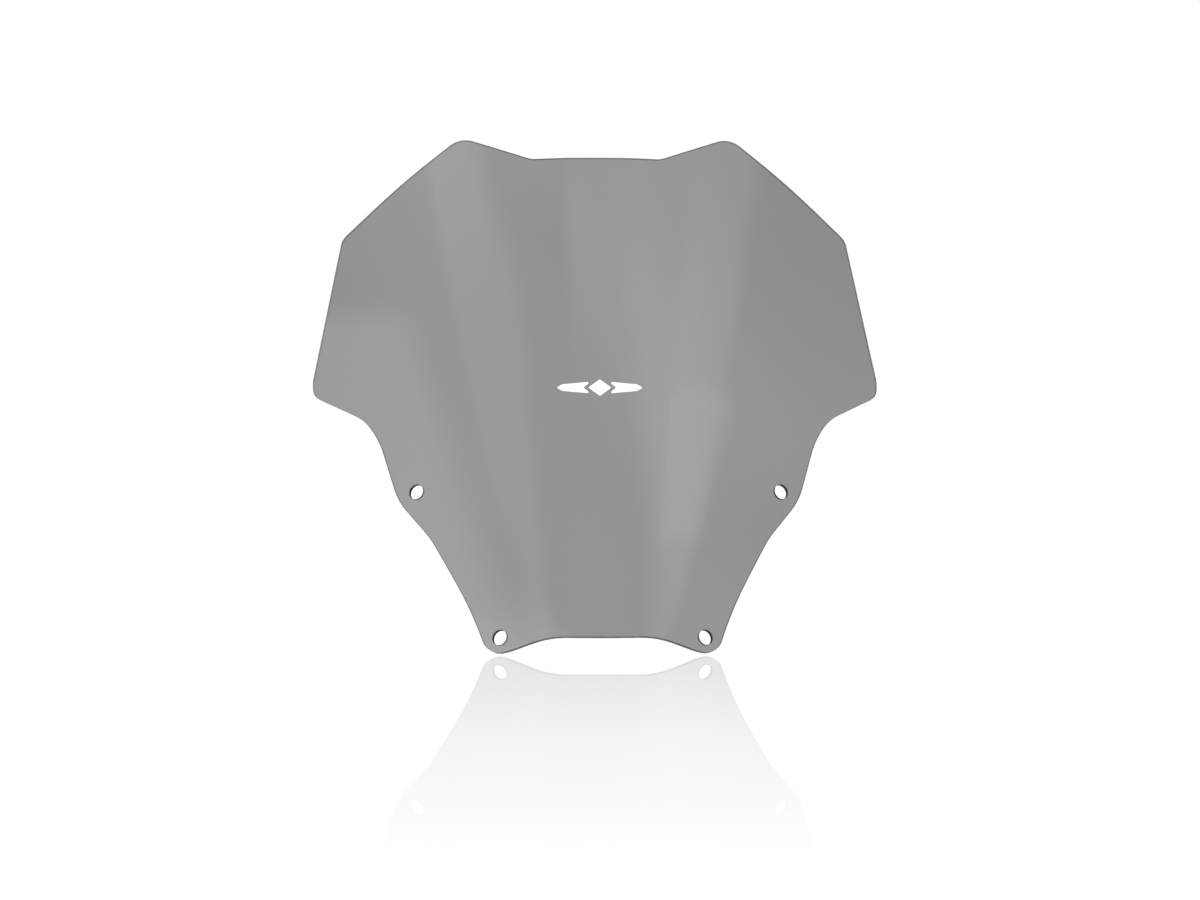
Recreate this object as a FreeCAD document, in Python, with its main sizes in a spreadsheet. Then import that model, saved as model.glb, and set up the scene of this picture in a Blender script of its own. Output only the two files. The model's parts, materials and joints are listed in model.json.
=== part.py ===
import FreeCAD, Part
import math
import os
import Sketcher
from FreeCAD import Placement, Rotation, Vector

# Screen of a motorcycle: one thermoformed acrylic panel with four fixing holes, and a cut vinyl
# emblem of three pieces on its outer face.
#
# Millimetres, upright as it sits on the bike.  -Y points ahead, on the side of the outer face,
# +Y points at the rider and +Z up.  The origin is midway between the two lower fixing holes,
# whose centres on the outer face are at the origin's height and depth.

SIZES = {
    # The panel.
    "panel_thickness": 3.0,
    "edge_round": 0.25,
    # The outer face: two flat wings, and between them a crown that is part of a cone.  A ridge
    # of tighter curve joins the two.  Both radii are those at the origin's height, and they
    # shrink to nothing at the cone's apex.
    "wing_sweep": 29.4,
    "wing_rake": 21.2,
    "apex_depth": 280.0,
    "crown_radius": 140.0,
    "crown_turn": 16.7,
    "ridge_radius": 98.0,
    "form_reach": 260.0,
    "form_bottom": -60.0,
    "form_top": 440.0,
    # The block that trims the outer face to its outline, from far ahead to far behind.
    "block_depth": 800.0,
    # The fixing holes, square to the wings.
    "hole_diameter": 12.0,
    "drill_length": 40.0,
    "lower_hole_x": 79.0,
    "lower_hole_z": 0.0,
    "upper_hole_x": 143.5,
    "upper_hole_z": 110.5,
    # The emblem's height on the panel, and its film.
    "emblem_z": 192.0,
    "emblem_gap": 0.02,
    "film_thickness": 0.15,
}

# Outlines seen from ahead, as corners in order: name, x, z, and the radius that rounds it.
# A radius of 0 is a sharp corner.  The trim is the right half, closed along the middle line.
TRIM = [
    ("top_middle", 0.0, 378.0, 0.0),
    ("brow", 26.0, 378.0, 700.0),
    ("notch", 52.0, 377.0, 20.0),
    ("peak", 109.0, 396.0, 20.0),
    ("slope", 158.0, 358.0, 700.0),
    ("shoulder", 205.0, 314.0, 15.0),
    ("tip_above", 227.5, 198.0, 20.0),
    ("tip_below", 227.0, 186.0, 10.0),
    ("waist_above", 185.0, 167.0, 35.0),
    ("waist_below", 173.0, 150.0, 65.0),
    ("hip", 158.0, 103.0, 50.0),
    ("flank", 132.0, 74.0, 80.0),
    ("shin", 101.0, 21.0, 290.0),
    ("foot_outer", 88.0, -14.0, 13.0),
    ("foot_inner", 72.0, -10.0, 45.0),
    ("heel", 42.0, 1.5, 75.0),
    ("bottom_middle", 0.0, 1.5, 0.0),
]

# The emblem's lozenge and its right bar, from the emblem's own middle.
LOZENGE = [
    ("lozenge_top", 0.0, 6.5, 0.8),
    ("lozenge_right", 9.0, 0.0, 0.8),
    ("lozenge_bottom", 0.0, -6.5, 0.8),
    ("lozenge_left", -9.0, 0.0, 0.8),
]
BAR = [
    ("bar_top", 7.0, 4.6, 0.8),
    ("bar_shoulder", 29.0, 2.6, 1.5),
    ("bar_tip", 34.0, 0.0, 0.8),
    ("bar_elbow", 29.0, -2.6, 1.5),
    ("bar_bottom", 7.0, -4.6, 0.8),
    ("bar_hollow", 13.0, 0.0, 0.8),
]

# Sketcher's names for the origin and the upright axis, and for the points of an edge.
ORIGIN, UPRIGHT = -1, -2
START, END, CENTRE = 1, 2, 3
UP = Vector(0, 0, 1)
SEEN_FROM_AHEAD = Placement(Vector(0, 0, 0), Rotation(Vector(1, 0, 0), 90))


def add_sheet(doc):
    """The driving dimensions, one named cell each."""
    cells = dict(SIZES)
    for name, x, z, radius in TRIM + LOZENGE + BAR:
        cells[name + "_x"] = x
        cells[name + "_z"] = z
        cells[name + "_round"] = radius
    sheet = doc.addObject("Spreadsheet::Sheet", "Sizes")
    for row, (name, value) in enumerate(cells.items(), start=1):
        sheet.set(f"A{row}", name)
        sheet.set(f"B{row}", str(value))
        sheet.setAlias(f"B{row}", name)
    doc.recompute()


def add_size(sketch, constraint, expression):
    """A constraint whose value comes from the sheet."""
    number = sketch.addConstraint(constraint)
    sketch.setExpression(f"Constraints[{number}]", expression)


def tie(sketch, kind, *ends):
    sketch.addConstraint(Sketcher.Constraint(kind, *ends))


def rounding(before, corner, after, radius):
    """The arc that rounds a corner, whether it runs clockwise, and its two ends in order."""
    back = (before - corner).normalize()
    ahead = (after - corner).normalize()
    half_angle = back.getAngle(ahead) / 2
    reach = radius / math.tan(half_angle)
    start = corner + back * reach
    end = corner + ahead * reach
    centre = corner + (back + ahead).normalize() * (radius / math.sin(half_angle))
    clockwise = (start - centre).cross(end - centre).z < 0
    first, last = (end, start) if clockwise else (start, end)
    from_angle = math.atan2(first.y - centre.y, first.x - centre.x)
    to_angle = math.atan2(last.y - centre.y, last.x - centre.x)
    if to_angle < from_angle:
        to_angle += 2 * math.pi
    arc = Part.ArcOfCircle(Part.Circle(centre, UP, radius), from_angle, to_angle)
    return arc, clockwise, start, end


def outline_sketch(doc, label, corners):
    """A closed outline of straight runs and rounded corners, facing ahead."""
    sketch = doc.addObject("Sketcher::SketchObject", label)
    sketch.Placement = SEEN_FROM_AHEAD
    points = [Vector(x, z, 0) for _, x, z, _ in corners]
    count = len(corners)
    arrivals, departures, arcs = [], [], []
    for index, (_, _, _, radius) in enumerate(corners):
        corner = points[index]
        if radius == 0:
            arrivals.append(corner)
            departures.append(corner)
            arcs.append(None)
            continue
        arc, clockwise, start, end = rounding(
            points[index - 1], corner, points[(index + 1) % count], radius)
        arrivals.append(start)
        departures.append(end)
        arcs.append((sketch.addGeometry(arc), clockwise))
    runs = [sketch.addGeometry(Part.LineSegment(departures[index], arrivals[(index + 1) % count]))
            for index in range(count)]
    for index, (name, x, z, radius) in enumerate(corners):
        arriving, leaving = runs[index - 1], runs[index]
        if arcs[index] is None:
            tie(sketch, "Coincident", arriving, END, leaving, START)
            mark = leaving
        else:
            arc, clockwise = arcs[index]
            near, far = (END, START) if clockwise else (START, END)
            mark = sketch.addGeometry(Part.Point(points[index]), True)
            tie(sketch, "Tangent", arriving, END, arc, near)
            tie(sketch, "Tangent", arc, far, leaving, START)
            tie(sketch, "PointOnObject", mark, START, arriving)
            tie(sketch, "PointOnObject", mark, START, leaving)
            add_size(sketch, Sketcher.Constraint("Radius", arc, radius), f"Sizes.{name}_round")
        add_size(sketch, Sketcher.Constraint("DistanceX", ORIGIN, START, mark, START, x),
                 f"Sizes.{name}_x")
        add_size(sketch, Sketcher.Constraint("DistanceY", ORIGIN, START, mark, START, z),
                 f"Sizes.{name}_z")
    doc.recompute()
    return sketch


def wing_depth(x, z):
    """How far behind the origin the outer face of a wing is, at a place seen from ahead."""
    sweep = math.tan(math.radians(SIZES["wing_sweep"]))
    rake = math.tan(math.radians(SIZES["wing_rake"]))
    return (abs(x) - SIZES["lower_hole_x"]) * sweep + (z - SIZES["lower_hole_z"]) * rake


def section_sketch(doc, label, level):
    """A level cut through the outer face: wing, ridge, crown, ridge, wing."""
    height = SIZES[level]
    growth = (height + SIZES["apex_depth"]) / SIZES["apex_depth"]
    crown = SIZES["crown_radius"] * growth
    ridge = SIZES["ridge_radius"] * growth
    turn = math.radians(SIZES["crown_turn"])
    sweep = math.radians(SIZES["wing_sweep"])
    reach = SIZES["form_reach"]
    root = wing_depth(0, height)
    crown_x = crown * math.sin(turn)
    wing_x = crown_x + ridge * (math.sin(sweep) - math.sin(turn))
    wing_y = wing_depth(wing_x, height)
    ridge_y = wing_y + ridge * math.cos(sweep)
    crown_y = ridge_y + (crown - ridge) * math.cos(turn)
    ahead = -math.pi / 2

    sketch = doc.addObject("Sketcher::SketchObject", label)
    middle = sketch.addGeometry(Part.ArcOfCircle(
        Part.Circle(Vector(0, crown_y, 0), UP, crown), ahead - turn, ahead + turn))
    ridges, wings = [], []
    for side in (1, -1):
        centre = Vector(side * (crown - ridge) * math.sin(turn), ridge_y, 0)
        spans = (ahead + turn, ahead + sweep) if side == 1 else (ahead - sweep, ahead - turn)
        ridges.append(sketch.addGeometry(Part.ArcOfCircle(Part.Circle(centre, UP, ridge), *spans)))
        wings.append(sketch.addGeometry(Part.LineSegment(
            Vector(side * wing_x, wing_y, 0), Vector(side * reach, wing_depth(reach, height), 0))))
    mark = sketch.addGeometry(Part.Point(Vector(0, root, 0)), True)

    tie(sketch, "PointOnObject", middle, CENTRE, UPRIGHT)
    tie(sketch, "Horizontal", middle, START, middle, END)
    tie(sketch, "Tangent", middle, END, ridges[0], START)
    tie(sketch, "Tangent", ridges[0], END, wings[0], START)
    tie(sketch, "Tangent", ridges[1], END, middle, START)
    tie(sketch, "Tangent", ridges[1], START, wings[1], START)
    tie(sketch, "Equal", ridges[0], ridges[1])
    tie(sketch, "PointOnObject", mark, START, UPRIGHT)
    tie(sketch, "PointOnObject", mark, START, wings[0])
    grown = f"(Sizes.{level} + Sizes.apex_depth) / Sizes.apex_depth"
    rooted = (f"(Sizes.{level} - Sizes.lower_hole_z) * tan(Sizes.wing_rake)"
              " - Sizes.lower_hole_x * tan(Sizes.wing_sweep)")
    sized = [
        ("Sizes.crown_radius * " + grown, "Radius", middle, crown),
        ("Sizes.ridge_radius * " + grown, "Radius", ridges[0], ridge),
        ("2 * Sizes.crown_turn", "Angle", middle, 2 * turn),
        ("Sizes.wing_sweep", "Angle", wings[0], sweep),
        ("180 - Sizes.wing_sweep", "Angle", wings[1], math.pi - sweep),
        (rooted, "DistanceY", ORIGIN, START, mark, START, root),
        ("Sizes.form_reach", "DistanceX", ORIGIN, START, wings[0], END, reach),
        ("Sizes.form_reach", "DistanceX", wings[1], END, ORIGIN, START, reach),
    ]
    for expression, *constraint in sized:
        add_size(sketch, Sketcher.Constraint(*constraint), expression)
    sketch.setExpression("Placement.Base.z", "Sizes." + level)
    doc.recompute()
    return sketch


def outer_form(doc):
    """The outer face before it is trimmed: straight lines from one level cut to the other."""
    form = doc.addObject("Part::Loft", "OuterForm")
    form.Sections = [section_sketch(doc, "LowCut", "form_bottom"),
                     section_sketch(doc, "HighCut", "form_top")]
    form.Ruled = True
    form.Solid = False
    return form


def block(doc, label, sketch):
    """An outline pushed right through the form, from far ahead to far behind."""
    solid = doc.addObject("Part::Extrusion", label)
    solid.Base = sketch
    solid.DirMode = "Normal"
    solid.Solid = True
    solid.Symmetric = True
    solid.setExpression("LengthFwd", "Sizes.block_depth")
    return solid


def mirrored(doc, label, source):
    """The other side's copy of an object, across the middle plane."""
    copy = doc.addObject("Part::Mirroring", label)
    copy.Source = source
    copy.Normal = Vector(1, 0, 0)
    return copy


def slab(doc, label, face, shift):
    """A face thickened to a solid whose rim is square to it."""
    solid = doc.addObject("Part::Offset", label)
    solid.Source = face
    solid.Fill = True
    solid.setExpression("Value", shift)
    return solid


def drill(doc, label, x, z):
    """A round tool through a wing, square to it, centred on the outer face."""
    slope = Vector(math.tan(math.radians(SIZES["wing_sweep"])), -1,
                   math.tan(math.radians(SIZES["wing_rake"]))).normalize()
    centre = Vector(SIZES[x], wing_depth(SIZES[x], SIZES[z]), SIZES[z])
    tool = doc.addObject("Part::Cylinder", label)
    tool.setExpression("Radius", "Sizes.hole_diameter / 2")
    tool.setExpression("Height", "Sizes.drill_length")
    tool.Placement = Placement(centre - slope * (SIZES["drill_length"] / 2), Rotation(UP, slope))
    return tool


def rim_edges(shape):
    """The numbers of the edges between a broad face and the rim or a hole's wall."""
    broad_area = 1000 * SIZES["panel_thickness"]
    found = []
    for number, edge in enumerate(shape.Edges, start=1):
        faces = shape.ancestorsOfType(edge, Part.Face)
        narrow = [face for face in faces if face.Area < broad_area]
        if len(faces) == 2 and len(narrow) == 1:
            found.append(number)
    return found


def screen_panel(doc, form):
    """The whole panel: trimmed, thickened, drilled, and its sharp edges broken."""
    right = block(doc, "TrimRight", outline_sketch(doc, "TrimOutline", TRIM))
    both = doc.addObject("Part::MultiFuse", "TrimBlock")
    both.Shapes = [right, mirrored(doc, "TrimLeft", right)]
    both.Refine = True
    face = doc.addObject("Part::Common", "OuterFace")
    face.Base = form
    face.Tool = both
    sheet = slab(doc, "PlainSheet", face, "-Sizes.panel_thickness")
    lower = drill(doc, "LowerDrillRight", "lower_hole_x", "lower_hole_z")
    upper = drill(doc, "UpperDrillRight", "upper_hole_x", "upper_hole_z")
    drills = doc.addObject("Part::MultiFuse", "Drills")
    drills.Shapes = [lower, upper, mirrored(doc, "LowerDrillLeft", lower),
                     mirrored(doc, "UpperDrillLeft", upper)]
    drilled = doc.addObject("Part::Cut", "DrilledSheet")
    drilled.Base = sheet
    drilled.Tool = drills
    doc.recompute()
    panel = doc.addObject("Part::Fillet", "ScreenPanel")
    panel.Label = "screen_panel"
    panel.Base = drilled
    panel.Edges = [(number, SIZES["edge_round"], SIZES["edge_round"])
                   for number in rim_edges(drilled.Shape)]
    return panel


def emblem(doc, form):
    """The emblem: a lozenge and two tapered bars of film, each laid on the crown."""
    skin = doc.addObject("Part::Offset", "FilmUnderside")
    skin.Source = form
    skin.setExpression("Value", "Sizes.emblem_gap")
    middle = block(doc, "LozengeBlock", outline_sketch(doc, "LozengeOutline", LOZENGE))
    right_bar = block(doc, "BarBlock", outline_sketch(doc, "BarOutline", BAR))
    for raised in (middle, right_bar):
        raised.setExpression("Placement.Base.z", "Sizes.emblem_z")
    cutters = [
        ("emblem_lozenge", middle),
        ("emblem_bar_right", right_bar),
        ("emblem_bar_left", mirrored(doc, "BarBlockLeft", right_bar)),
    ]
    pieces = []
    for name, cutter in cutters:
        patch = doc.addObject("Part::Common", name + "_face")
        patch.Base = skin
        patch.Tool = cutter
        film = slab(doc, name + "_film", patch, "Sizes.film_thickness")
        film.Label = name
        pieces.append(film)
    return pieces


def check(doc, pieces):
    """Stops if anything failed to build."""
    for thing in doc.Objects:
        if "Invalid" in thing.State or "Error" in thing.State:
            raise RuntimeError(f"{thing.Label} failed: {thing.State}")
    for piece in pieces:
        if piece.Shape.isNull() or not piece.Shape.isValid() or len(piece.Shape.Solids) != 1:
            raise RuntimeError(f"{piece.Label} is not one valid solid")


def main():
    doc = FreeCAD.newDocument("Screen")
    add_sheet(doc)
    form = outer_form(doc)
    pieces = [screen_panel(doc, form)] + emblem(doc, form)
    doc.recompute()
    check(doc, pieces)
    os.makedirs("parts", exist_ok=True)
    for piece in pieces:
        piece.Shape.exportStep(f"parts/{piece.Label}.step")
        print(piece.Label, round(piece.Shape.Volume, 1))


main()
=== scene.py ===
import json
import math

import bpy
import numpy as np
from mathutils import Matrix, Vector
from mathutils.geometry import delaunay_2d_cdt


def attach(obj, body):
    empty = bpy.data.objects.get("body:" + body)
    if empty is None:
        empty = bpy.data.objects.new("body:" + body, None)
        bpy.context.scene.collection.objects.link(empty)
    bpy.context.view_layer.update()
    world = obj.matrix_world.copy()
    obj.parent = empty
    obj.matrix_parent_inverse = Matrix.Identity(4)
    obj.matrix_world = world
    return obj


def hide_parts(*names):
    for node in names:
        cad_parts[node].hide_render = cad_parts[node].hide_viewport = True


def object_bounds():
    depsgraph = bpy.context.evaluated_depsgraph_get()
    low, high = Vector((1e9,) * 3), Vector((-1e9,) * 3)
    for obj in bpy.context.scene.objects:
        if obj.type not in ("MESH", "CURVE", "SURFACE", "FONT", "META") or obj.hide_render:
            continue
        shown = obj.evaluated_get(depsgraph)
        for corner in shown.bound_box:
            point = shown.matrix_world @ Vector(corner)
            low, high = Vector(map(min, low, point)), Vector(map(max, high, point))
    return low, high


# The see-through screen of a motorcycle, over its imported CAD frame.  The panel is rebuilt here
# as a dense mesh with true normals, because its polish shows every facet.  Sizes are in
# millimetres until the last step of each mesh, and MM turns them into Blender's metres.

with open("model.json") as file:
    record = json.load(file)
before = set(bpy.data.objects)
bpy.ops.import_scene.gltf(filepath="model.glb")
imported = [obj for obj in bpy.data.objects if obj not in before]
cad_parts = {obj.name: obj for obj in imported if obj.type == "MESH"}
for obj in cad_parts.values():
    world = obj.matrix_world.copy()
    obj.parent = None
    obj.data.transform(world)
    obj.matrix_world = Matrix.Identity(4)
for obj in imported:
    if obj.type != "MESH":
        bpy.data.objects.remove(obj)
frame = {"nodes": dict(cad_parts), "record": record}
cad_low, cad_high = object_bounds()
MOUNTS = {mount["name"]: mount for mount in frame["record"]["mounts"]}

MM = 0.001
THICKNESS = 3.0
EDGE_ROUND = 0.25
APEX_DEPTH = 280.0
CROWN_RADIUS = 140.0
RIDGE_RADIUS = 98.0
CROWN_TURN = math.radians(16.7)

# The right half of the trim outline, seen from ahead: x, z and radius of each corner.
TRIM = [
    (0.0, 378.0, 0.0),
    (26.0, 378.0, 700.0),
    (52.0, 377.0, 20.0),
    (109.0, 396.0, 20.0),
    (158.0, 358.0, 700.0),
    (205.0, 314.0, 15.0),
    (227.5, 198.0, 20.0),
    (227.0, 186.0, 10.0),
    (185.0, 167.0, 35.0),
    (173.0, 150.0, 65.0),
    (158.0, 103.0, 50.0),
    (132.0, 74.0, 80.0),
    (101.0, 21.0, 290.0),
    (88.0, -14.0, 13.0),
    (72.0, -10.0, 45.0),
    (42.0, 1.5, 75.0),
    (0.0, 1.5, 0.0),
]

# The mesh: the spacing of points along a border, the widest turn from one to the next in
# radians, the fewest steps on an arc, the points round a hole, the steps of an edge's rounding,
# and the spacing of the points inside, with the part of it that they keep clear of a border.
STEP = 2.0
WIDEST_TURN = 0.12
FEWEST_ON_ARC = 4
HOLE_POINTS = 64
ROUND_STEPS = 3
GRAIN = 4.0
GRAIN_CLEAR = 0.62
TINY = 1e-9
SAME_POINT = 1e-5

# The panel's material slots: the two broad faces, the rims, and the walls of the holes.
FACE, RIM, WALL = range(3)

# The acrylic: its refractive index, and its dye's colour and density to the metre.
ACRYLIC_IOR = 1.49
TINT = (0.5, 0.5, 0.5)
TINT_DENSITY = 790.0

# Where nearly all of a noise pattern's values lie.
NOISE_LOW, NOISE_HIGH = 0.3, 0.7

# The studio, in metres and degrees.  The floor lies just under the panel's feet, and mirrors it
# less and less with distance.
FLOOR_GAP = 0.001
FLOOR_REACH = 8.0
MIRROR_NEAR = 0.455
MIRROR_REACH = 1.65
MIRROR_FALL = 1.3
FLOOR_IOR = 1.5
CAMERA_AZIMUTH = 2.04
CAMERA_DISTANCE = 3.0
SENSOR_WIDTH = 36.0
VIEW_WIDTH = 0.918
AIM = Vector((-0.00209, 0, 0.14328))

# The walls' brightness, the ceiling's, and the elevations where one fades into the other.
WHITE = 1.02
CEILING = 0.3
WALL_TOP = 21.0
CEILING_START = 26.0

# Softboxes that face one point: azimuth from straight ahead, elevation and roll, then width and
# height, the part of their half width that fades out, and brightness over the ceiling's.
LIT_POINT = Vector((0, 0.06, 0.19))
LAMP_DISTANCE = 1.3
SOFTBOXES = {
    "left_wide": (-55, 10, 0, 1.1, 2.6, 0.5, 0.7),
    "left_high": (-110, 70, -90, 2.3, 2.2, 0.7, 2.0),
    "left_low": (-58, -10, 30, 0.7, 2.6, 0.2, 1.1),
    "left_band": (-60, 42, 25, 0.6, 0.7, 0.4, 0.4),
    "foot": (-62, 18, 35, 2.6, 0.2, 1.0, 1.2),
    "top": (45, 68, -75, 2.6, 1.1, 0.5, 0.8),
    "middle": (48, 38, -45, 2.6, 0.4, 1.0, 0.8),
    "centre": (7, 44, -15, 2.0, 0.5, 0.3, 0.2),
    "right_core": (56, 34, -30, 0.7, 0.2, 0.3, 0.6),
    "right_low": (72, 28, -50, 1.7, 0.4, 1.0, 0.6),
}


class Form:
    """The panel's outer face: two flat wings and a crown that is part of a cone."""

    def __init__(self):
        """Reads the wings' slopes and place off the lower right hole."""
        hole = MOUNTS["lower_hole_right"]
        across, ahead, up = hole["axis"]
        self.sweep = -across / ahead
        self.rake = -up / ahead
        middle = np.array(hole["pos_m"]) / MM
        centre = middle + np.array(hole["axis"]) * THICKNESS / 2
        self.offset = centre[1] - centre[0] * self.sweep - centre[2] * self.rake
        angle = math.atan(self.sweep)
        self.crown_x = CROWN_RADIUS * math.sin(CROWN_TURN)
        self.wing_x = self.crown_x + RIDGE_RADIUS * (math.sin(angle) - math.sin(CROWN_TURN))
        self.ridge_x = (CROWN_RADIUS - RIDGE_RADIUS) * math.sin(CROWN_TURN)
        self.ridge_y = self.wing_x * self.sweep + self.offset + RIDGE_RADIUS * math.cos(angle)
        self.crown_y = self.ridge_y + (CROWN_RADIUS - RIDGE_RADIUS) * math.cos(CROWN_TURN)
        self.apex_y = self.offset - APEX_DEPTH * self.rake

    def section(self, x):
        """Depth and slope of the level cut at the origin's height."""
        side = np.abs(x)
        crown = np.sqrt(np.maximum(CROWN_RADIUS**2 - side**2, TINY))
        ridge = np.sqrt(np.maximum(RIDGE_RADIUS**2 - (side - self.ridge_x) ** 2, TINY))
        zones = [side < self.crown_x, side < self.wing_x]
        depth = np.select(zones, [self.crown_y - crown, self.ridge_y - ridge],
                          side * self.sweep + self.offset)
        slope = np.select(zones, [side / crown, (side - self.ridge_x) / ridge], self.sweep)
        return depth, slope * np.sign(x)

    def place(self, x, z):
        """Points on the outer face and their outward normals."""
        growth = (z + APEX_DEPTH) / APEX_DEPTH
        depth, slope = self.section(x / growth)
        y = self.apex_y + growth * (depth - self.apex_y)
        rise = (depth - self.apex_y - slope * x / growth) / APEX_DEPTH
        normal = np.stack([slope, -np.ones_like(slope), rise], axis=1)
        normal /= np.linalg.norm(normal, axis=1)[:, None]
        return np.stack([x, y, z], axis=1), normal


def spread(start, end, step):
    """Evenly spaced points from start up to, but not at, end."""
    count = max(1, round(float(np.linalg.norm(end - start)) / step))
    return [start + (end - start) * k / count for k in range(count)]


def rounded(before, corner, after, radius, step):
    """Points along the arc that rounds a corner."""
    back = (before - corner) / np.linalg.norm(before - corner)
    ahead = (after - corner) / np.linalg.norm(after - corner)
    half_angle = math.acos(float(np.dot(back, ahead))) / 2
    reach = radius / math.tan(half_angle)
    middle = back + ahead
    centre = corner + middle / np.linalg.norm(middle) * radius / math.sin(half_angle)
    first, last = corner + back * reach - centre, corner + ahead * reach - centre
    start = math.atan2(first[1], first[0])
    turn = (math.atan2(last[1], last[0]) - start + math.pi) % (2 * math.pi) - math.pi
    count = max(FEWEST_ON_ARC, round(abs(turn) * radius / step), round(abs(turn) / WIDEST_TURN))
    angles = start + turn * np.arange(count + 1) / count
    return [centre + radius * np.array([math.cos(a), math.sin(a)]) for a in angles]


def trim_loop():
    """The whole trim outline, anticlockwise as seen from ahead."""
    right = [np.array(corner[:2]) for corner in TRIM]
    half = [right[0]]
    for k in range(1, len(TRIM) - 1):
        arc = rounded(right[k - 1], right[k], right[k + 1], TRIM[k][2], STEP)
        half += spread(half[-1], arc[0], STEP)[1:] + arc
    half += spread(half[-1], right[-1], STEP)[1:] + [right[-1]]
    clockwise = half + [point * [-1, 1] for point in half[-2:0:-1]]
    return np.array(clockwise[::-1])


def hole_loop(mount):
    """A fixing hole's edge on the outer face, clockwise from ahead, so the hole is outside it."""
    axis = np.array(mount["axis"])
    centre = np.array(mount["pos_m"]) / MM + axis * THICKNESS / 2
    across = np.cross(axis, [0, 0, 1])
    across /= np.linalg.norm(across)
    up = np.cross(across, axis)
    angles = np.linspace(0, 2 * math.pi, HOLE_POINTS, endpoint=False)
    circle = centre + mount["dims"]["r_mm"] * (
        np.cos(angles)[:, None] * across + np.sin(angles)[:, None] * up)
    loop = circle[:, [0, 2]]
    area = np.sum(loop[:, 0] * np.roll(loop[:, 1], -1) - np.roll(loop[:, 0], -1) * loop[:, 1])
    return loop[::-1] if area > 0 else loop


def inside(points, loop):
    """Which points lie inside a closed loop, by counting the edges that a level ray crosses."""
    found = np.zeros(len(points), bool)
    for (ax, az), (bx, bz) in zip(loop, np.roll(loop, -1, axis=0)):
        crosses = (az > points[:, 1]) != (bz > points[:, 1])
        if az != bz:
            found ^= crosses & (points[:, 0] < (bx - ax) * (points[:, 1] - az) / (bz - az) + ax)
    return found


def edge_rows(form, loop):
    """Points and normals down a rim, row by row: round the front edge, then round the back one.
    The first row borders the outer face and the last one the inner face."""
    at, normal = form.place(loop[:, 0], loop[:, 1])
    along = np.roll(at, -1, axis=0) - np.roll(at, 1, axis=0)
    along /= np.linalg.norm(along, axis=1)[:, None]
    out = np.cross(along, normal)
    turns = [math.pi / 2 * k / ROUND_STEPS for k in range(ROUND_STEPS + 1)]
    rows = []
    for turn in turns:
        inset = out * EDGE_ROUND * (1 - math.sin(turn))
        depth = EDGE_ROUND * (1 - math.cos(turn))
        rows.append((at - inset - normal * depth, out * math.sin(turn) + normal * math.cos(turn)))
    for turn in reversed(turns):
        inset = out * EDGE_ROUND * (1 - math.sin(turn))
        depth = THICKNESS - EDGE_ROUND * (1 - math.cos(turn))
        rows.append((at - inset - normal * depth, out * math.sin(turn) - normal * math.cos(turn)))
    return rows


def within(points, borders):
    """Which points lie inside the first border and outside the others, the holes."""
    found = inside(points, borders[0])
    for hole in borders[1:]:
        found &= ~inside(points, hole)
    return found


def points_between(borders):
    """An even spread of points in rows between the borders, a little clear of them."""
    border = np.vstack(borders)
    low, high = border.min(axis=0), border.max(axis=0)
    xs = np.arange(low[0], high[0], GRAIN)
    zs = np.arange(low[1], high[1], GRAIN * math.sqrt(3) / 2)
    grid = np.array([(x + (GRAIN / 2 if k % 2 else 0), z) for k, z in enumerate(zs) for x in xs])
    grid = grid[within(grid, borders)]
    clear = np.ones(len(grid), bool)
    for x, z in border:
        clear &= np.hypot(grid[:, 0] - x, grid[:, 1] - z) > GRAIN * GRAIN_CLEAR
    return grid[clear]


def triangles_between(borders, grid):
    """Triangles that join the borders' points and the grid's, anticlockwise from ahead."""
    edges = []
    for border in borders:
        first, count = len(edges), len(border)
        edges += [(first + k, first + (k + 1) % count) for k in range(count)]
    flat = [Vector(p) for p in np.vstack([*borders, grid])]
    result = delaunay_2d_cdt(flat, edges, [], 1, SAME_POINT)
    spots, triangles, origin = result[0], result[2], result[3]
    original = [ids[0] for ids in origin]
    middles = np.array([sum((spots[k] for k in t), Vector((0, 0))) / 3 for t in triangles])
    solid = np.ones(len(triangles), bool)
    for hole in borders[1:]:
        solid &= ~inside(middles, hole)
    chosen = []
    for triangle, good in zip(triangles, solid):
        if good:
            a, b, c = (original[k] for k in triangle)
            if (flat[b] - flat[a]).cross(flat[c] - flat[a]) < 0:
                b, c = c, b
            chosen.append((a, b, c))
    return chosen


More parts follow.
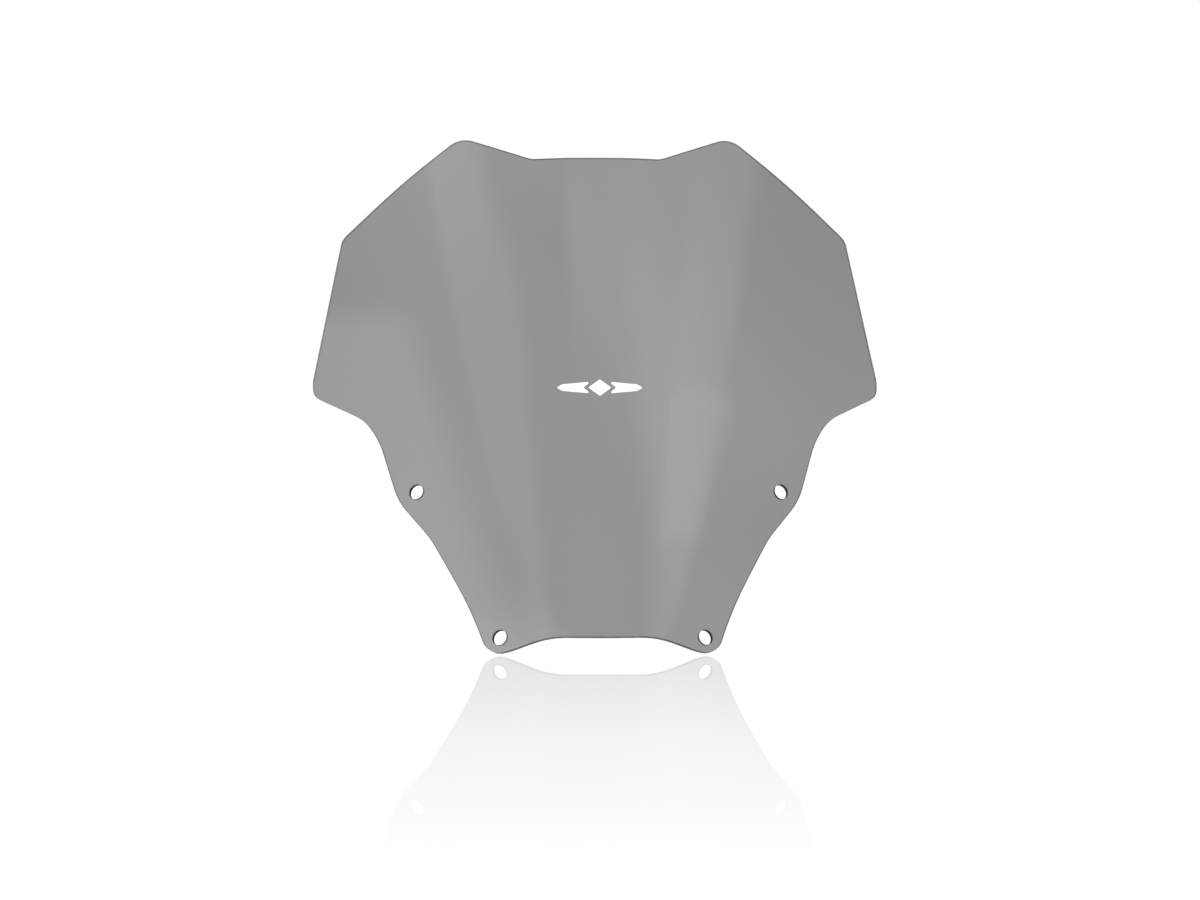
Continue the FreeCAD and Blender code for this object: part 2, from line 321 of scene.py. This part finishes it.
def build_panel(form):
    """The panel as one closed mesh: the outer face, the rounded rims, the inner face."""
    loops = [(trim_loop(), RIM)]
    loops += [(hole_loop(mount), WALL)
              for mount in MOUNTS.values() if mount["kind"] == "bore"]

    points, normals, faces, finishes = [], [], [], []
    total = 0

    def add(rows, row_normals):
        nonlocal total
        points.append(rows)
        normals.append(row_normals)
        total += len(rows)
        return np.arange(total - len(rows), total)

    borders, front_ids, back_ids = [], [], []
    for loop, finish in loops:
        rows = [add(*row) for row in edge_rows(form, loop)]
        count = len(loop)
        for strip, (near, far) in enumerate(zip(rows, rows[1:])):
            for k in range(count):
                after = (k + 1) % count
                faces.append((near[k], far[k], far[after], near[after]))
                finishes.append(finish if strip == ROUND_STEPS else RIM)
        borders.append(points[-len(rows)][:, [0, 2]])
        front_ids += list(rows[0])
        back_ids += list(rows[-1])

    grid = points_between(borders)
    at, normal = form.place(grid[:, 0], grid[:, 1])
    front_ids += list(add(at, normal))
    back_ids += list(add(at - normal * THICKNESS, -normal))
    for a, b, c in triangles_between(borders, grid):
        faces.append((front_ids[a], front_ids[b], front_ids[c]))
        faces.append((back_ids[a], back_ids[c], back_ids[b]))
        finishes += [FACE, FACE]

    mesh = bpy.data.meshes.new("panel_mesh")
    mesh.from_pydata((np.vstack(points) * MM).tolist(), [], [[int(i) for i in f] for f in faces])
    mesh.validate()
    mesh.polygons.foreach_set("use_smooth", [True] * len(mesh.polygons))
    mesh.polygons.foreach_set("material_index", finishes)
    mesh.normals_split_custom_set_from_vertices(np.vstack(normals).tolist())
    panel = bpy.data.objects.new("panel", mesh)
    bpy.context.scene.collection.objects.link(panel)
    return panel


def node_material(name):
    """A new material with a Principled shader, and a way to add and join nodes."""
    material = bpy.data.materials.new(name)
    material.use_nodes = True
    return material, material.node_tree.nodes, material.node_tree.links


def noise(nodes, links, scale, detail, low, high):
    """A soft pattern in the object's own space, mostly between two values."""
    place = nodes.new("ShaderNodeTexCoord")
    pattern = nodes.new("ShaderNodeTexNoise")
    pattern.inputs["Scale"].default_value = scale
    pattern.inputs["Detail"].default_value = detail
    spread_out = nodes.new("ShaderNodeMapRange")
    spread_out.inputs["From Min"].default_value = NOISE_LOW
    spread_out.inputs["From Max"].default_value = NOISE_HIGH
    spread_out.inputs["To Min"].default_value = low
    spread_out.inputs["To Max"].default_value = high
    links.new(place.outputs["Object"], pattern.inputs["Vector"])
    links.new(pattern.outputs["Fac"], spread_out.inputs["Value"])
    return spread_out.outputs["Result"]


def bump(nodes, links, height, distance):
    """Relief of a given depth in metres."""
    relief = nodes.new("ShaderNodeBump")
    relief.inputs["Distance"].default_value = distance
    links.new(height, relief.inputs["Height"])
    return relief.outputs["Normal"]


def dye(nodes, links):
    """The grey that runs all through the acrylic."""
    absorption = nodes.new("ShaderNodeVolumeAbsorption")
    absorption.inputs["Color"].default_value = (*TINT, 1)
    absorption.inputs["Density"].default_value = TINT_DENSITY
    links.new(absorption.outputs["Volume"], nodes["Material Output"].inputs["Volume"])


def acrylic(name, haze, relief, depth):
    """Dyed acrylic with a noise for its haze and one for its relief, whose depth is in metres."""
    material, nodes, links = node_material(name)
    shader = nodes["Principled BSDF"]
    shader.inputs["Base Color"].default_value = (1, 1, 1, 1)
    shader.inputs["Transmission Weight"].default_value = 1.0
    shader.inputs["IOR"].default_value = ACRYLIC_IOR
    links.new(noise(nodes, links, *haze), shader.inputs["Roughness"])
    links.new(bump(nodes, links, noise(nodes, links, *relief), depth), shader.inputs["Normal"])
    dye(nodes, links)
    return material


def painted_dark_bores():
    """The dull wall of a drilled hole, painted near black with its reflection turned down:
    painted shade for the dark crescents in the holes.
    """
    material, nodes, links = node_material("bore_painted_shade")
    shader = nodes["Principled BSDF"]
    # Painted shade: a near black colour, varied a little by noise, stands in for the shade seen
    # in the holes.
    shade = nodes.new("ShaderNodeMix")
    shade.data_type = "RGBA"
    shade.inputs["A"].default_value = (0.006, 0.006, 0.006, 1)
    shade.inputs["B"].default_value = (0.014, 0.014, 0.014, 1)
    links.new(noise(nodes, links, 700, 2, 0, 1), shade.inputs["Factor"])
    links.new(shade.outputs["Result"], shader.inputs["Base Color"])
    # Painted shade: the reflection is turned down so that the walls stay dark.
    shader.inputs["Specular IOR Level"].default_value = 0.1
    links.new(noise(nodes, links, 500, 2, 0.45, 0.65), shader.inputs["Roughness"])
    marks = bump(nodes, links, noise(nodes, links, 1500, 2, 0, 1), 0.00003)
    links.new(marks, shader.inputs["Normal"])
    return material


def film():
    """White cut vinyl with the faint grain that calendered film has."""
    material, nodes, links = node_material("emblem_film")
    shader = nodes["Principled BSDF"]
    colour = nodes.new("ShaderNodeMix")
    colour.data_type = "RGBA"
    colour.inputs["A"].default_value = (0.93, 0.93, 0.94, 1)
    colour.inputs["B"].default_value = (0.97, 0.97, 0.97, 1)
    links.new(noise(nodes, links, 600, 2, 0, 1), colour.inputs["Factor"])
    links.new(colour.outputs["Result"], shader.inputs["Base Color"])
    links.new(noise(nodes, links, 300, 2, 0.3, 0.42), shader.inputs["Roughness"])
    grain = bump(nodes, links, noise(nodes, links, 2500, 2, 0, 1), 0.000015)
    links.new(grain, shader.inputs["Normal"])
    return material


def floor(level):
    """White all over, with a mirror finish that fades away from the panel."""
    mesh = bpy.data.meshes.new("floor_mesh")
    corners = [(-1, -1), (1, -1), (1, 1), (-1, 1)]
    mesh.from_pydata([(x * FLOOR_REACH, y * FLOOR_REACH, level) for x, y in corners],
                     [], [(0, 1, 2, 3)])
    ground = bpy.data.objects.new("floor", mesh)
    bpy.context.scene.collection.objects.link(ground)
    material, nodes, links = node_material("floor")
    nodes.remove(nodes["Principled BSDF"])
    glow = nodes.new("ShaderNodeEmission")
    glow.inputs["Strength"].default_value = WHITE
    mirror = nodes.new("ShaderNodeBsdfGlossy")
    mirror.inputs["Color"].default_value = (1, 1, 1, 1)
    mirror.inputs["Roughness"].default_value = 0.0
    place = nodes.new("ShaderNodeTexCoord")
    distance = nodes.new("ShaderNodeVectorMath")
    distance.operation = "LENGTH"
    fade = nodes.new("ShaderNodeMapRange")
    fade.inputs["From Max"].default_value = MIRROR_REACH
    steep = nodes.new("ShaderNodeMath")
    steep.operation = "POWER"
    steep.inputs[1].default_value = MIRROR_FALL
    strength = nodes.new("ShaderNodeMapRange")
    strength.inputs["To Min"].default_value = MIRROR_NEAR
    strength.inputs["To Max"].default_value = 0.0
    grazing = nodes.new("ShaderNodeFresnel")
    grazing.inputs["IOR"].default_value = FLOOR_IOR
    gloss = nodes.new("ShaderNodeMath")
    gloss.operation = "MULTIPLY"
    mix = nodes.new("ShaderNodeMixShader")
    links.new(place.outputs["Object"], distance.inputs[0])
    links.new(distance.outputs["Value"], fade.inputs["Value"])
    links.new(fade.outputs["Result"], steep.inputs[0])
    links.new(steep.outputs[0], strength.inputs["Value"])
    links.new(strength.outputs["Result"], gloss.inputs[0])
    links.new(grazing.outputs["Fac"], gloss.inputs[1])
    links.new(gloss.outputs[0], mix.inputs["Fac"])
    links.new(glow.outputs[0], mix.inputs[1])
    links.new(mirror.outputs[0], mix.inputs[2])
    links.new(mix.outputs[0], nodes["Material Output"].inputs["Surface"])
    mesh.materials.append(material)


def softbox(name, azimuth, elevation, roll, width, height, fading, glow):
    """A lamp with soft edges that faces the panel, at a fixed distance from it."""
    azimuth, elevation, roll = (math.radians(a) for a in (azimuth, elevation, roll))
    away = Vector((math.cos(elevation) * math.sin(azimuth),
                   -math.cos(elevation) * math.cos(azimuth), math.sin(elevation)))
    level = Vector((math.cos(azimuth), math.sin(azimuth), 0))
    rising = away.cross(level)
    right = level * math.cos(roll) + rising * math.sin(roll)
    top = rising * math.cos(roll) - level * math.sin(roll)
    lamp = bpy.data.lights.new(name, "AREA")
    lamp.shape = "RECTANGLE"
    lamp.size, lamp.size_y = width, height
    lamp.energy = glow * math.pi * width * height
    lamp.use_nodes = True
    nodes, links = lamp.node_tree.nodes, lamp.node_tree.links
    place = nodes.new("ShaderNodeNewGeometry")
    axes = nodes.new("ShaderNodeSeparateXYZ")
    product = nodes.new("ShaderNodeMath")
    product.operation = "MULTIPLY"
    links.new(place.outputs["Parametric"], axes.inputs[0])
    margin = fading * min(width, height) / 2
    for axis, size in enumerate((width, height)):
        edge = nodes.new("ShaderNodeMath")
        edge.operation = "PINGPONG"
        edge.inputs[1].default_value = 0.5
        ramp = nodes.new("ShaderNodeMapRange")
        ramp.interpolation_type = "SMOOTHSTEP"
        ramp.inputs["From Max"].default_value = margin / size
        links.new(axes.outputs[axis], edge.inputs[0])
        links.new(edge.outputs[0], ramp.inputs["Value"])
        links.new(ramp.outputs["Result"], product.inputs[axis])
    links.new(product.outputs[0], nodes["Emission"].inputs["Strength"])
    box = bpy.data.objects.new(name, lamp)
    box.matrix_world = Matrix.Translation(LIT_POINT + away * LAMP_DISTANCE) @ \
        Matrix((right, top, away)).transposed().to_4x4()
    box.visible_camera = False
    box.visible_transmission = False
    bpy.context.scene.collection.objects.link(box)


def studio():
    """White walls under a dimmer ceiling, and the softboxes."""
    world = bpy.data.worlds.new("studio")
    world.use_nodes = True
    nodes, links = world.node_tree.nodes, world.node_tree.links
    nodes["Background"].inputs["Color"].default_value = (1, 1, 1, 1)
    direction = nodes.new("ShaderNodeTexCoord")
    axes = nodes.new("ShaderNodeSeparateXYZ")
    brightness = nodes.new("ShaderNodeMapRange")
    brightness.inputs["From Min"].default_value = math.sin(math.radians(WALL_TOP))
    brightness.inputs["From Max"].default_value = math.sin(math.radians(CEILING_START))
    brightness.inputs["To Min"].default_value = WHITE
    brightness.inputs["To Max"].default_value = CEILING
    links.new(direction.outputs["Generated"], axes.inputs[0])
    links.new(axes.outputs["Z"], brightness.inputs["Value"])
    links.new(brightness.outputs["Result"], nodes["Background"].inputs["Strength"])
    bpy.context.scene.world = world
    for name, sizes in SOFTBOXES.items():
        softbox(name, *sizes)
    bpy.context.scene.view_settings.view_transform = "Standard"


def camera():
    """Level, at the height of the panel's lower middle, a little to its right-hand side."""
    azimuth = math.radians(CAMERA_AZIMUTH)
    ahead = Vector((math.sin(azimuth), math.cos(azimuth), 0))
    data = bpy.data.cameras.new("camera")
    data.sensor_width = SENSOR_WIDTH
    data.lens = SENSOR_WIDTH * CAMERA_DISTANCE / VIEW_WIDTH
    view = bpy.data.objects.new("camera", data)
    view.location = AIM - ahead * CAMERA_DISTANCE
    view.rotation_mode = "QUATERNION"
    view.rotation_quaternion = ahead.to_track_quat("-Z", "Y")
    bpy.context.scene.collection.objects.link(view)
    bpy.context.scene.camera = view


panel = build_panel(Form())
# The faces have a hint of forming waves and of wiping haze, and the rims a faint grain.
panel.data.materials.append(acrylic("smoked_acrylic", (40, 4, 0.0, 0.03), (9, 1, 0, 1), 0.00002))
panel.data.materials.append(
    acrylic("smoked_acrylic_rim", (250, 3, 0.0, 0.06), (900, 2, 0, 1), 0.000005))
# The holes' walls get painted shade: near black, with little reflection.
panel.data.materials.append(painted_dark_bores())
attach(panel, "root")
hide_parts("screen_panel")

vinyl = film()
for name in ("emblem_lozenge", "emblem_bar_left", "emblem_bar_right"):
    node = frame["nodes"][name]
    node.data.materials.clear()
    node.data.materials.append(vinyl)

floor(float(cad_low.z) - FLOOR_GAP)
studio()
camera()
